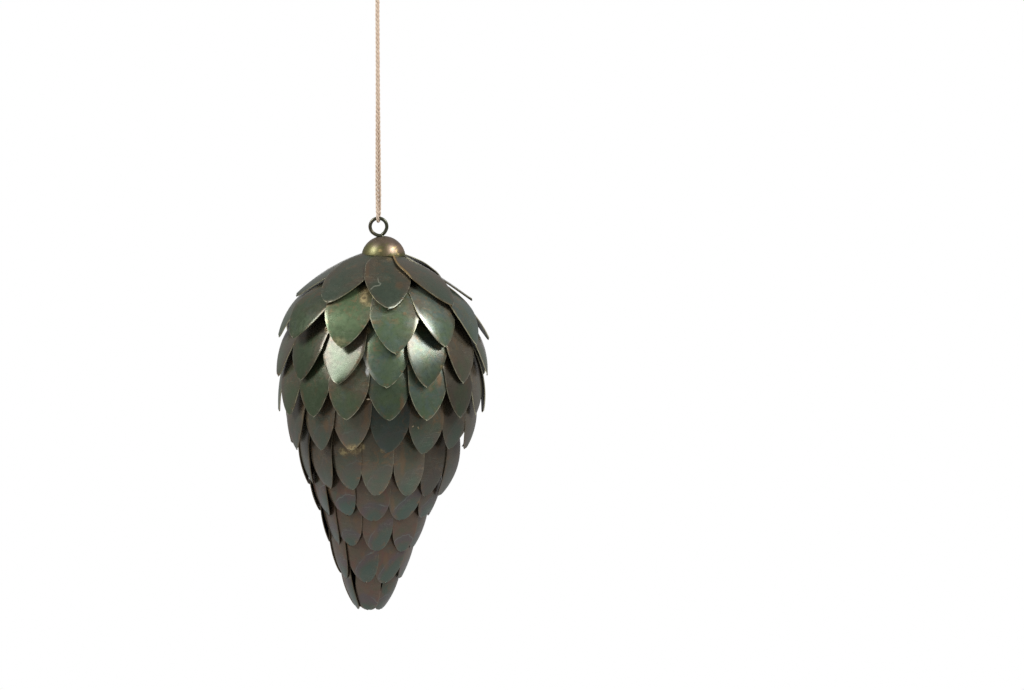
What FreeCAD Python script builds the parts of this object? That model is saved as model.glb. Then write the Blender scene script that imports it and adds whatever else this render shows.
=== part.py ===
import FreeCAD, Part
import math
import os
from collections import namedtuple

import Sketcher
from FreeCAD import Placement, Rotation, Vector

# Hanging pine cone ornament: sheet-iron scales brazed in ten rings on a hollow sheet-iron core,
# a domed cap with a bent wire eye on top, and a doubled jute cord that ends in a knot.
# The row frame has its origin under the knot, where a hook carries the cord, and +Z up.
# The cone has a frame of its own, with its axis on Z and z = 0 on the flat top of the core.

# Driving sizes, in millimetres and degrees
SIZES = {
    "scale_sheet": 0.6,
    "scale_side_gap": 0.4,
    "root_seat": 0.3,
    "arch_room": 0.5,
    "core_sheet": 0.6,
    "core_top_radius": 8.0,
    "core_shoulder_radius": 45.0,
    "core_shoulder_drop": 25.0,
    "core_waist_radius": 60.0,
    "core_waist_drop": 66.0,
    "core_knee_radius": 42.0,
    "core_knee_drop": 131.0,
    "core_taper_radius": 27.0,
    "core_taper_drop": 176.0,
    "core_end_radius": 5.0,
    "core_end_inset": 7.0,
    "cap_radius": 14.6,
    "cap_height": 12.2,
    "cap_sheet": 0.7,
    "cap_seat": 0.15,
    "cap_hole_radius": 3.0,
    "cap_hole_offset": 2.3,
    "ring_wire": 2.3,
    "ring_mean_radius": 5.5,
    "ring_leg_gap": 0.2,
    "ring_neck_bend": 2.0,
    "ring_to_crown": 6.3,
    "ring_leg_depth": 4.6,
    "ring_foot_bend": 1.6,
    "ring_foot_length": 2.2,
    "ring_lean": 14.0,
    "cone_lean": 2.4,
    "cord_diameter": 2.0,
    "ring_below_hook": 157.0,
    "knot_neck_radius": 2.7,
    "knot_radius": 4.3,
    "knot_height": 8.6,
    "tail_length": 11.0,
    "tail_gap": 0.2,
    "tail_splay": 11.0,
}

# Rings of scales from the cap down. count is the number of scales, drop how far the tips hang below
# the tips of the ring above, cover how far the roots reach up under the ring above, lift how far the
# tips stand off the ring below, bow the rise of the bent scale over its chord, start the angle of the
# first scale from the front, tip the width of the tip as a share of the widest place.
Tier = namedtuple("Tier", "count drop cover lift bow start tip")
TIERS = (
    Tier(8, 29.6, 29.3, 5.7, 3.2, 7, 0.07),
    Tier(12, 27.9, 10.8, 4.3, 6.2, 9, 0.07),
    Tier(14, 23.2, 20.3, 2.5, 4.4, 4, 0.07),
    Tier(16, 23.3, 22.5, 5.0, 3.8, 6, 0.07),
    Tier(16, 23.5, 22.8, 5.4, 4.6, 8, 0.07),
    Tier(16, 28.2, 22.3, 1.2, 5.2, 2, 0.07),
    Tier(12, 17.6, 23.5, 0.8, 4.0, 0, 0.12),
    Tier(11, 20.9, 21.1, 0.7, 2.7, 7, 0.12),
    Tier(8, 21.3, 21.0, 0.8, 2.5, -12, 0.12),
    Tier(6, 22.0, 21.3, 2.6, 3.9, -1, 0.50),
)

# A scale has its shoulders halfway down, and its stations are where the sheet is creased across
SHOULDER = 0.5
STATIONS = (0.0, 0.25, 0.5, 0.72, 0.89, 1.0)
# Each crease has a flat middle and two sides that bend back towards the cone
FLAT_SHARE = 0.4
ROUND_SHARE = 0.62

# The cord's route, from the knot down round the ring's wire and up to the knot again
CORD_ROUTE = (
    (-0.41, -1.13, -0.01),
    (-1.15, -0.33, -140.0),
    (-0.10, -2.20, -148.6),
    (0.00, -2.20, -153.7),
    (0.00, 2.20, -153.7),
    (0.10, 2.20, -148.6),
    (1.15, 0.33, -140.0),
    (0.41, 1.13, -0.01),
)
RUN_SHARE = 0.45
WRAP_SHARE = 0.97

doc = FreeCAD.newDocument("PineConeOrnament")
sheet = doc.addObject("Spreadsheet::Sheet", "Sizes")


def fill_sheet():
    rows = dict(SIZES)
    for number, tier in enumerate(TIERS, 1):
        for name, value in tier._asdict().items():
            rows[f"tier_{number:02d}_{name}"] = value
    for row, (name, value) in enumerate(rows.items(), 1):
        sheet.set(f"A{row}", name)
        sheet.set(f"B{row}", str(value))
        sheet.setAlias(f"B{row}", name)
    doc.recompute()


def size(name):
    return float(getattr(sheet, name))


def bind(target, path, expression):
    target.setExpression(path, expression.replace("$", "Sizes."))


def origin_plane(body, role):
    return next(part for part in body.Origin.OriginFeatures if part.Role == role)


def new_body(name):
    body = doc.addObject("PartDesign::Body", name)
    body.Label = name
    return body


def new_sketch(body, name, role):
    sketch = body.newObject("Sketcher::SketchObject", name)
    sketch.AttachmentSupport = [(origin_plane(body, role), "")]
    sketch.MapMode = "FlatFace"
    return sketch


def new_feature(name, shape, placement):
    feature = doc.addObject("Part::Feature", name)
    feature.Label = name
    feature.Shape = shape
    feature.Placement = placement
    return feature


# Section of the core


def tip_level(index):
    return -sum(size(f"tier_{number:02d}_drop") for number in range(1, index + 1))


def core_corners():
    """Outer corners of the core's section, from the flat top down to the flat end."""
    end_level = tip_level(len(TIERS)) + size("core_end_inset")
    return [
        Vector(size("core_top_radius"), 0, 0),
        Vector(size("core_shoulder_radius"), -size("core_shoulder_drop"), 0),
        Vector(size("core_waist_radius"), -size("core_waist_drop"), 0),
        Vector(size("core_knee_radius"), -size("core_knee_drop"), 0),
        Vector(size("core_taper_radius"), -size("core_taper_drop"), 0),
        Vector(size("core_end_radius"), end_level, 0),
    ]


def radius_along(corners, level):
    """Radius of a section line at a level; beyond the line's ends, the radius of that end."""
    for upper, lower in zip(corners, corners[1:]):
        if lower.y <= level <= upper.y:
            return upper.x + (lower.x - upper.x) * (upper.y - level) / (upper.y - lower.y)
    return corners[0].x if level > corners[0].y else corners[-1].x


# Scales


def width_share(station, tip):
    """Width of a scale at a station as a share of its widest place: an ogive below the shoulders."""
    past = max(0, station - SHOULDER) / (1 - SHOULDER)
    return 1 - (1 - tip) * past**2


def arch_share(station):
    """Rise of the creased sheet over its chord at a station, as a share of its bow."""
    for upper, lower in zip(STATIONS, STATIONS[1:]):
        if upper <= station <= lower:
            rises = [4 * share * (1 - share) for share in (upper, lower)]
            return rises[0] + (rises[1] - rises[0]) * (station - upper) / (lower - upper)
    return 0


def bow_over(point, root, chord, outward):
    """Bow that carries a scale over a point of what lies under it; 0 beyond the scale's ends."""
    reach = point - root
    share = arch_share(reach.dot(chord) / chord.dot(chord))
    return reach.dot(outward) / share + size("arch_room") if share else 0


class ScaleForm:
    """Section of one tier's scale in the plane through the cone's axis, and its widths."""

    def __init__(self, number, below):
        tier = {name: size(f"tier_{number:02d}_{name}") for name in Tier._fields}
        self.count, self.start = int(round(tier["count"])), tier["start"]
        tip = tip_level(number)
        root = tip_level(number - 1) + tier["cover"] if number > 1 else tip + tier["cover"]
        root_point = Vector(radius_along(core_corners(), root) + size("root_seat"), root, 0)
        carrier = below.outer if below else core_corners()
        tip_point = Vector(radius_along(carrier, tip) + tier["lift"], tip, 0)
        chord = tip_point - root_point
        self.outward = Vector(-chord.y, chord.x, 0).normalize()
        under = [bow_over(point, root_point, chord, self.outward) for point in core_corners() + carrier]
        bow = max(tier["bow"], *under)
        self.inner = [
            root_point + chord * station + self.outward * (bow * arch_share(station))
            for station in STATIONS
        ]
        self.outer = [point + self.outward * size("scale_sheet") for point in self.inner]
        self.set_widths(tier["tip"])

    def set_widths(self, tip):
        """Above its shoulders a scale keeps beside its neighbours, and below them it runs to its tip."""
        half_pitch = math.tan(math.pi / self.count)
        bend = ROUND_SHARE * half_pitch * self.outward.x / 2
        shares = [width_share(station, tip) for station in STATIONS]
        room = [
            (point.x * half_pitch - size("scale_side_gap") / 2) / (1 + bend * self.outward.x * half_pitch)
            for point in self.inner
        ]
        widest = min(
            beside / share
            for beside, share, station in zip(room, shares, STATIONS)
            if station >= SHOULDER
        )
        self.half_widths = [min(beside, widest * share) for beside, share in zip(room, shares)]
        self.edge_drops = [bend * half for half in self.half_widths]

    def outer_level(self, radius):
        """Level of the outer face at a radius on its first panel."""
        upper, lower = self.outer[:2]
        return upper.y + (lower.y - upper.y) * (radius - upper.x) / (lower.x - upper.x)


def face_of(*corners):
    return Part.Face(Part.makePolygon([*corners, corners[0]]))


def crease_points(middle, outward, half, drop):
    """The four corners of one crease, from the left edge to the right one, front scale."""
    edge = middle - outward * drop
    flat = FLAT_SHARE * half
    return [
        Vector(-half, -edge.x, edge.y),
        Vector(-flat, -middle.x, middle.y),
        Vector(flat, -middle.x, middle.y),
        Vector(half, -edge.x, edge.y),
    ]


def scale_solid(form):
    """One scale: flat panels between the creases, inside and outside, and the sheet's cut edge."""
    layers = [
        [
            crease_points(point, form.outward, half, drop)
            for point, half, drop in zip(side, form.half_widths, form.edge_drops)
        ]
        for side in (form.outer, form.inner)
    ]
    outer, inner = layers
    faces = []
    for rows in layers:
        for upper, lower in zip(rows, rows[1:]):
            for left in range(len(upper) - 1):
                faces.append(face_of(upper[left], upper[left + 1], lower[left + 1], lower[left]))
    for edge in (0, -1):
        for row in range(len(outer) - 1):
            outer_edge = outer[row][edge], outer[row + 1][edge]
            inner_edge = inner[row + 1][edge], inner[row][edge]
            faces.append(face_of(*outer_edge, *inner_edge))
    for end in (0, -1):
        faces.append(face_of(*outer[end], *reversed(inner[end])))
    solid = Part.makeSolid(Part.makeShell(faces))
    if solid.Volume < 0:
        solid.reverse()
    return solid


def make_forms():
    """Forms of all tiers, worked out from the lowest, because each tip stands off the tier below."""
    forms = []
    for number in range(len(TIERS), 0, -1):
        forms.append(ScaleForm(number, forms[-1] if forms else None))
    return forms[::-1]


def make_tier(number, form, placement):
    scale = scale_solid(form)
    copies = []
    for index in range(form.count):
        copy = scale.copy()
        copy.rotate(Vector(), Vector(0, 0, 1), form.start + index * 360 / form.count)
        copies.append(copy)
    return new_feature(f"tier_{number:02d}_scales", Part.makeCompound(copies), placement)


# Core and cap


def revolve(body, sketch):
    feature = body.newObject("PartDesign::Revolution", f"{body.Name}_turn")
    feature.Profile = sketch
    feature.ReferenceAxis = (sketch, ["V_Axis"])
    feature.Angle = 360


def dimension(sketch, kind, targets, value, expression):
    index = sketch.addConstraint(Sketcher.Constraint(kind, *targets, value))
    bind(sketch, f"Constraints[{index}]", expression)


def crossing(point, along, other, other_along):
    """Where two lines of a section meet."""
    turn = along.cross(other_along).z
    return point + along * ((other - point).cross(other_along).z / turn)


def inset_line(corners, inset, side):
    """Corners of the line at a distance beside a section line, from the axis to the mouth's level."""
    runs = [(lower - upper).normalize() for upper, lower in zip(corners, corners[1:])]
    lines = [(Vector(0, corners[0].y, 0), Vector(0, 1, 0))]
    for corner, run in zip(corners, runs):
        lines.append((corner + Vector(-run.y, run.x, 0) * (side * inset), run))
    lines.append((corners[-1], Vector(1, 0, 0)))
    return [crossing(*line, *following) for line, following in zip(lines, lines[1:])]


def make_core_half(name, placement, corners, side):
    """Half of the core: a flat plate and rolled cones in one sheet, open at the waist. The corners run
    from the plate to the waist, each with its radius and drop as expressions."""
    body = new_body(name)
    sketch = new_sketch(body, f"{name}_section", "XZ_Plane")
    outer = [Vector(0, corners[0][0].y, 0)] + [point for point, _, _ in corners]
    inner = inset_line(outer, size("core_sheet"), side)
    outline = outer + inner[::-1]
    for start, end in zip(outline, outline[1:] + outline[:1]):
        sketch.addGeometry(Part.LineSegment(start, end), False)
    lines = len(outline)
    mouth = len(outer) - 1
    for line in range(lines):
        sketch.addConstraint(Sketcher.Constraint("Coincident", line, 2, (line + 1) % lines, 1))
    for line in (0, mouth):
        sketch.addConstraint(Sketcher.Constraint("Horizontal", line))
    for end in (1, 2):
        sketch.addConstraint(Sketcher.Constraint("PointOnObject", lines - 1, end, -2))
    for line, (point, radius, drop) in enumerate(corners):
        dimension(sketch, "DistanceX", (-1, 1, line, 2), point.x, radius)
        if line and point.y:
            dimension(sketch, "DistanceY", (line, 2, -1, 1), -point.y, drop)
    if corners[0][0].y:
        dimension(sketch, "DistanceY", (0, 1, -1, 1), -corners[0][0].y, corners[0][2])
    else:
        sketch.addConstraint(Sketcher.Constraint("PointOnObject", 0, 2, -1))
    for line in range(mouth):
        facing = lines - 2 - line
        sketch.addConstraint(Sketcher.Constraint("Parallel", line, facing))
        dimension(sketch, "Distance", (facing, 2, line), size("core_sheet"), "$core_sheet")
    revolve(body, sketch)
    body.Placement = placement
    return body


def make_core(placement):
    names = ("top", "shoulder", "waist", "knee", "taper", "end")
    drops = " + ".join(f"$tier_{number:02d}_drop" for number in range(1, len(TIERS) + 1))
    expressions = {name: f"$core_{name}_drop" for name in names}
    expressions["end"] = f"{drops} - $core_end_inset"
    corners = [
        (point, f"$core_{name}_radius", expressions[name])
        for name, point in zip(names, core_corners())
    ]
    waist = names.index("waist")
    return [
        make_core_half("core_dome", placement, corners[: waist + 1], -1),
        make_core_half("core_cone", placement, corners[:waist - 1:-1], 1),
    ]


def section_arc(centre, radius, *ends):
    """Arc of a section, from its lower end up to its upper one."""
    angles = sorted(math.atan2(end.y - centre.y, end.x - centre.x) for end in ends)
    return Part.ArcOfCircle(Part.Circle(centre, Vector(0, 0, 1), radius), *angles)


def make_cap(placement, crown):
    """Spun cup: part of a sphere with an open rim, and a hole in its crown for the wire eye."""
    radius, thick, height = size("cap_radius"), size("cap_sheet"), size("cap_height")
    centre = Vector(0, -radius, 0)
    rim = Vector(math.sqrt(radius**2 - (radius - height) ** 2), -height, 0)
    inner = radius - thick
    inner_rim = Vector(math.sqrt(inner**2 - (radius - height) ** 2), -height, 0)
    crown_inside = Vector(0, -thick, 0)
    body = new_body("cap")
    sketch = new_sketch(body, "cap_section", "XZ_Plane")
    sketch.addGeometry(section_arc(centre, radius, rim, Vector()), False)
    sketch.addGeometry(section_arc(centre, inner, inner_rim, crown_inside), False)
    sketch.addGeometry(Part.LineSegment(Vector(), crown_inside), False)
    sketch.addGeometry(Part.LineSegment(rim, inner_rim), False)
    add = sketch.addConstraint
    add(Sketcher.Constraint("Coincident", 0, 2, 2, 1))
    add(Sketcher.Constraint("Coincident", 1, 2, 2, 2))
    add(Sketcher.Constraint("Coincident", 0, 1, 3, 1))
    add(Sketcher.Constraint("Coincident", 1, 1, 3, 2))
    add(Sketcher.Constraint("Coincident", 0, 3, 1, 3))
    add(Sketcher.Constraint("PointOnObject", 0, 3, -2))
    add(Sketcher.Constraint("Coincident", 0, 2, -1, 1))
    add(Sketcher.Constraint("PointOnObject", 1, 2, -2))
    add(Sketcher.Constraint("Horizontal", 3))
    dimension(sketch, "Radius", (0,), radius, "$cap_radius")
    dimension(sketch, "Radius", (1,), inner, "$cap_radius - $cap_sheet")
    dimension(sketch, "DistanceY", (3, 1, -1, 1), height, "$cap_height")
    revolve(body, sketch)

    hole = new_sketch(body, "cap_hole", "XY_Plane")
    offset = size("cap_hole_offset")
    hole.addGeometry(Part.Circle(Vector(-offset, 0, 0), Vector(0, 0, 1), size("cap_hole_radius")), False)
    hole.addConstraint(Sketcher.Constraint("PointOnObject", 0, 3, -1))
    dimension(hole, "Radius", (0,), size("cap_hole_radius"), "$cap_hole_radius")
    dimension(hole, "DistanceX", (0, 3, -1, 1), offset, "$cap_hole_offset")
    pocket = body.newObject("PartDesign::Pocket", "cap_hole_cut")
    pocket.Profile = hole
    bind(pocket, "Length", "$cap_height / 2")
    body.Placement = placement.multiply(Placement(Vector(0, 0, crown), Rotation()))
    return body


# Wire eye


def wire_path():
    """Middle line of the wire, in the eye's own plane: foot, leg, neck, eye, neck, leg, foot."""
    mean, wire = size("ring_mean_radius"), size("ring_wire")
    leg_x = (wire + size("ring_leg_gap")) / 2
    neck, foot = size("ring_neck_bend"), size("ring_foot_bend")
    neck_x = leg_x + neck
    neck_z = -math.sqrt((mean + neck) ** 2 - neck_x**2)
    meet = Vector(neck_x, 0, neck_z) * (mean / (mean + neck))
    leg_end = -size("ring_to_crown") - size("ring_leg_depth")
    half = math.sqrt(0.5)
    towards_eye = (meet - Vector(neck_x, 0, neck_z)).normalize()
    neck_middle = (towards_eye + Vector(-1, 0, 0)).normalize() * neck + Vector(neck_x, 0, neck_z)

    def side(sign, point):
        return Vector(sign * point.x, 0, point.z)

    leg_top = Vector(leg_x, 0, neck_z)
    bend_top = Vector(leg_x, 0, leg_end + foot)
    bend_middle = Vector(leg_x + foot * (1 - half), 0, leg_end + foot * (1 - half))
    bend_end = Vector(leg_x + foot, 0, leg_end)
    foot_end = bend_end + Vector(size("ring_foot_length"), 0, 0)
    halves = []
    for sign in (1, -1):
        halves.append(
            [
                Part.LineSegment(side(sign, foot_end), side(sign, bend_end)).toShape(),
                Part.Arc(side(sign, bend_end), side(sign, bend_middle), side(sign, bend_top)).toShape(),
                Part.LineSegment(side(sign, bend_top), side(sign, leg_top)).toShape(),
                Part.Arc(side(sign, leg_top), side(sign, neck_middle), side(sign, meet)).toShape(),
            ]
        )
    eye = Part.Arc(meet, Vector(0, 0, mean), side(-1, meet)).toShape()
    return Part.Wire([*halves[0], eye, *reversed(halves[1])]), foot_end


def swept_round(path, start, direction, diameter):
    section = Part.Wire([Part.Circle(start, direction, diameter / 2).toShape()])
    return path.makePipeShell([section], True, False)


def make_ring():
    path, foot_end = wire_path()
    shape = swept_round(path, foot_end, Vector(1, 0, 0), size("ring_wire"))
    placement = Placement(
        Vector(0, 0, -size("ring_below_hook")), Rotation(Vector(0, 1, 0), -size("ring_lean"))
    )
    return new_feature("hanging_ring", shape, placement)


# Cord and knot


def rounded_route(points, tight):
    """Straight runs joined by tangent arcs; tight gives the radius of the two corners at the ring."""
    corners = []
    for index in range(1, len(points) - 1):
        before, here, after = points[index - 1 : index + 2]
        arrive, leave = here - before, after - here
        half_turn = arrive.getAngle(leave) / 2
        shorter = min(arrive.Length, leave.Length)
        radius = tight.get(index, RUN_SHARE * shorter / math.tan(half_turn))
        reach = radius * math.tan(half_turn)
        start = here - Vector(arrive).normalize() * reach
        end = here + Vector(leave).normalize() * reach
        inside = (Vector(leave).normalize() - Vector(arrive).normalize()).normalize()
        middle = here + inside * (radius / math.cos(half_turn) - radius)
        corners.append((start, middle, end))
        print(f"cord bend {index}: radius {radius:.1f} mm, turn {math.degrees(2 * half_turn):.0f} degrees")
    edges = []
    last = points[0]
    for start, middle, end in corners:
        edges.append(Part.LineSegment(last, start).toShape())
        edges.append(Part.Arc(start, middle, end).toShape())
        last = end
    edges.append(Part.LineSegment(last, points[-1]).toShape())
    return Part.Wire(edges)


def make_cord():
    points = [Vector(*point) for point in CORD_ROUTE]
    # The bight closes on the wire: its two corners nearly meet in one half circle
    wrap = WRAP_SHARE * (points[4] - points[3]).Length / 2
    route = rounded_route(points, {3: wrap, 4: wrap})
    diameter = size("cord_diameter")
    shape = swept_round(route, points[0], points[1] - points[0], diameter)
    expected = math.pi * diameter**2 / 4 * route.Length
    print(f"cord: {route.Length:.1f} mm long, volume {shape.Volume:.1f}, section by length {expected:.1f}")
    return new_feature("hanging_cord", shape, Placement())


def make_knot():
    """Overhand knot of both strands, as one plain barrel on a flat neck, with two free ends."""
    neck, belly, height = size("knot_neck_radius"), size("knot_radius"), size("knot_height")
    section = Part.Wire(
        [
            Part.LineSegment(Vector(0, 0, 0), Vector(neck, 0, 0)).toShape(),
            Part.Arc(Vector(neck, 0, 0), Vector(belly, 0, height / 2), Vector(neck, 0, height)).toShape(),
            Part.LineSegment(Vector(neck, 0, height), Vector(0, 0, height)).toShape(),
            Part.LineSegment(Vector(0, 0, height), Vector(0, 0, 0)).toShape(),
        ]
    )
    knot = Part.Face(section).revolve(Vector(), Vector(0, 0, 1), 360)
    radius = size("cord_diameter") / 2
    splay = math.radians(size("tail_splay"))
    for sign in (1, -1):
        lean = Vector(sign * math.sin(splay), 0, math.cos(splay))
        foot = Vector(sign * (radius + size("tail_gap") / 2), 0, height - radius)
        knot = knot.fuse(Part.makeCylinder(radius, size("tail_length") + radius, foot, lean))
    return new_feature("cord_knot", knot, Placement())


# The whole ornament


def cone_placement(crown):
    """Puts the cone's own frame in the row frame: hung by the hole in the cap, and leaning."""
    lean = math.radians(size("ring_lean"))
    reach = size("ring_to_crown")
    ring_centre = Vector(0, 0, -size("ring_below_hook"))
    hole = ring_centre + Vector(math.sin(lean), 0, -math.cos(lean)) * reach
    hole_in_cone = Vector(-size("cap_hole_offset"), 0, crown)
    turn = Rotation(Vector(0, 1, 0), size("cone_lean"))
    return Placement(hole, turn).multiply(Placement(-hole_in_cone, Rotation()))


def check_and_export(parts):
    doc.recompute()
    for thing in doc.Objects:
        if "Invalid" in thing.State or "Error" in thing.State:
            raise RuntimeError(f"{thing.Label} failed: {thing.State}")
    os.makedirs("parts", exist_ok=True)
    for part in parts:
        if part.Shape.isNull() or not part.Shape.isValid() or part.Shape.Volume <= 0:
            raise RuntimeError(f"{part.Label} has no sound shape")
        part.Shape.exportStep(f"parts/{part.Label}.step")
        print(f"{part.Label}: {len(part.Shape.Solids)} solids, {part.Shape.Volume:.0f} mm3")


def main():
    fill_sheet()
    forms = make_forms()
    for number, form in enumerate(forms, 1):
        print(
            f"tier {number}: tip radius {form.outer[-1].x:.1f}, root radius {form.inner[0].x:.1f}, "
            f"level {form.inner[0].y:.1f} to {form.inner[-1].y:.1f}, widest {2 * max(form.half_widths):.1f}"
        )
    cap_inner_rim = size("cap_radius") - size("cap_sheet")
    rim_level = forms[0].outer_level(cap_inner_rim) + size("cap_seat")
    crown = rim_level + size("cap_height")
    placement = cone_placement(crown)
    parts = make_core(placement)
    parts += [make_tier(number, form, placement) for number, form in enumerate(forms, 1)]
    parts += [make_cap(placement, crown), make_ring(), make_cord(), make_knot()]
    check_and_export(parts)


main()
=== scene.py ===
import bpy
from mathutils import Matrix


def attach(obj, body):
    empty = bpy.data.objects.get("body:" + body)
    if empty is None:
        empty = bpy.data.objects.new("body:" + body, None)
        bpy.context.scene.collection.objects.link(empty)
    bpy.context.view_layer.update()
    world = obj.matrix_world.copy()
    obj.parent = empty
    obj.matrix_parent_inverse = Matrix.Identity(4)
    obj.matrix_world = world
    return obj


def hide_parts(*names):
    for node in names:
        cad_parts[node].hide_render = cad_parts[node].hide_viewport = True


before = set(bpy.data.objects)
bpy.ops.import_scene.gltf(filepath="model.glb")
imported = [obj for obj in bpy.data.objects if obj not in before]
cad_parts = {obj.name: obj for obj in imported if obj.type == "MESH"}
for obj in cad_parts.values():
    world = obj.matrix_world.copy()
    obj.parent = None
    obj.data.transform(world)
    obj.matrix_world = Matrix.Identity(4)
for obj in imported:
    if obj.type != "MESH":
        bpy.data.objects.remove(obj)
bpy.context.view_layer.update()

import math
import random
from collections import namedtuple

import bmesh
import bpy
from mathutils import Matrix, Vector

MM = 0.001
scene = bpy.context.scene
dice = random.Random(31)


def link(thing):
    scene.collection.objects.link(thing)
    return thing


# Camera: a long lens a little above the ornament, with the eye left of and above the middle of the view

PIXEL = 0.66 * MM
VIEW_WIDTH, VIEW_HEIGHT = 1024, 690
EYE_PIXEL = (379, 227)
CAMERA_HEIGHT = math.radians(6)
CAMERA_DISTANCE = 2.0
FILM_WIDTH = 36
EYE_CENTRE = Vector((0, 0, -157 * MM))


def make_camera():
    middle = EYE_CENTRE + Vector((
        (VIEW_WIDTH / 2 - EYE_PIXEL[0]) * PIXEL,
        0,
        -(VIEW_HEIGHT / 2 - EYE_PIXEL[1]) * PIXEL / math.cos(CAMERA_HEIGHT),
    ))
    back = Vector((0, -math.cos(CAMERA_HEIGHT), math.sin(CAMERA_HEIGHT)))
    data = bpy.data.cameras.new("camera")
    data.sensor_width = FILM_WIDTH
    data.lens = FILM_WIDTH * CAMERA_DISTANCE / (VIEW_WIDTH * PIXEL)
    data.clip_end = 10 * CAMERA_DISTANCE
    camera = link(bpy.data.objects.new("camera", data))
    camera.location = middle + back * CAMERA_DISTANCE
    camera.rotation_mode = "QUATERNION"
    camera.rotation_quaternion = (-back).to_track_quat("-Z", "Y")
    scene.camera = camera


make_camera()


# Helpers for meshes and materials


def new_piece(name, vertices, faces, materials):
    mesh = bpy.data.meshes.new(name)
    mesh.from_pydata(vertices, [], faces)
    mesh.update()
    mesh.shade_smooth()
    for material in materials:
        mesh.materials.append(material)
    return link(bpy.data.objects.new(name, mesh))


def point_values(piece, name, values):
    attribute = piece.data.attributes.new(name, "FLOAT", "POINT")
    attribute.data.foreach_set("value", values)


class Nodes:
    """A node tree and short ways to add to it."""

    def __init__(self, tree):
        self.tree = tree

    def add(self, kind, settings=None, **inputs):
        node = self.tree.nodes.new(kind)
        for key, value in (settings or {}).items():
            setattr(node, key, value)
        for key, value in inputs.items():
            self.feed(node.inputs[key.replace("_", " ")], value)
        return node

    def feed(self, socket, value):
        if isinstance(value, bpy.types.NodeSocket):
            self.tree.links.new(value, socket)
        else:
            socket.default_value = value

    def math(self, operation, first, second=0.0, third=0.0, clamp=False):
        node = self.add("ShaderNodeMath", {"operation": operation, "use_clamp": clamp})
        for socket, value in zip(node.inputs, (first, second, third)):
            self.feed(socket, value)
        return node.outputs[0]

    def times(self, *values):
        product = values[0]
        for value in values[1:]:
            product = self.math("MULTIPLY", product, value)
        return product

    def plus(self, *values):
        total = values[0]
        for value in values[1:]:
            total = self.math("ADD", total, value)
        return total

    def most(self, *values):
        greatest = values[0]
        for value in values[1:]:
            greatest = self.math("MAXIMUM", greatest, value)
        return greatest

    def vector(self, operation, *values):
        """Vector arithmetic. Lengths and products come out as values, all else as vectors."""
        node = self.add("ShaderNodeVectorMath", {"operation": operation})
        for socket, value in zip(node.inputs, values):
            self.feed(socket, value)
        return node.outputs["Value" if operation in ("LENGTH", "DISTANCE", "DOT_PRODUCT") else "Vector"]

    def mix(self, factor, first, second, blend="MIX"):
        node = self.add("ShaderNodeMix", {"data_type": "RGBA", "blend_type": blend})
        for index, value in zip((0, 6, 7), (factor, first, second)):
            self.feed(node.inputs[index], value)
        return node.outputs[2]

    def ramp(self, value, low, high, to_low=0.0, to_high=1.0):
        node = self.add("ShaderNodeMapRange", {"interpolation_type": "SMOOTHSTEP"})
        for socket, number in zip(node.inputs, (value, low, high, to_low, to_high)):
            self.feed(socket, number)
        return node.outputs[0]

    def band(self, value, middle, inner, outer, strength=1.0):
        """Full strength within the inner distance of the middle, and nothing beyond the outer one."""
        away = self.math("ABSOLUTE", self.math("SUBTRACT", value, middle))
        return self.ramp(away, inner, outer, strength, 0.0)

    def noise(self, place, scale, detail=3.0, roughness=0.55, distortion=0.0):
        node = self.add("ShaderNodeTexNoise")
        for key, value in (("Vector", place), ("Scale", scale), ("Detail", detail),
                           ("Roughness", roughness), ("Distortion", distortion)):
            self.feed(node.inputs[key], value)
        return node.outputs["Fac"]

    def attribute(self, name):
        return self.add("ShaderNodeAttribute", {"attribute_name": name}).outputs["Fac"]

    def place(self):
        return self.add("ShaderNodeTexCoord").outputs["Object"]


def new_group(name, inputs, outputs):
    """Node group. An input is a vector where its default is None, a colour where that is a tuple, and
    otherwise a value."""
    group = bpy.data.node_groups.new(name, "ShaderNodeTree")
    for socket, default in inputs.items():
        if default is None:
            kind = "NodeSocketVector"
        else:
            kind = "NodeSocketColor" if isinstance(default, tuple) else "NodeSocketFloat"
        made = group.interface.new_socket(name=socket, in_out="INPUT", socket_type=kind)
        if default is not None:
            made.default_value = default
    for socket, kind in outputs.items():
        group.interface.new_socket(name=socket, in_out="OUTPUT", socket_type=kind)
    nodes = Nodes(group)
    return nodes, nodes.add("NodeGroupInput").outputs, nodes.add("NodeGroupOutput").inputs


def use_group(nodes, group, **inputs):
    node = nodes.add("ShaderNodeGroup", {"node_tree": group})
    for key, value in inputs.items():
        nodes.feed(node.inputs[key.replace("_", " ")], value)
    return node.outputs


def new_material(name, **settings):
    material = bpy.data.materials.new(name)
    material.use_nodes = True
    nodes = Nodes(material.node_tree)
    shader = next(node for node in nodes.tree.nodes if node.type == "BSDF_PRINCIPLED")
    for key, value in settings.items():
        nodes.feed(shader.inputs[key.replace("_", " ")], value)
    return material, nodes, shader.inputs


def grey(value):
    return (value, value, value, 1.0)


# Finishes

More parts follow.
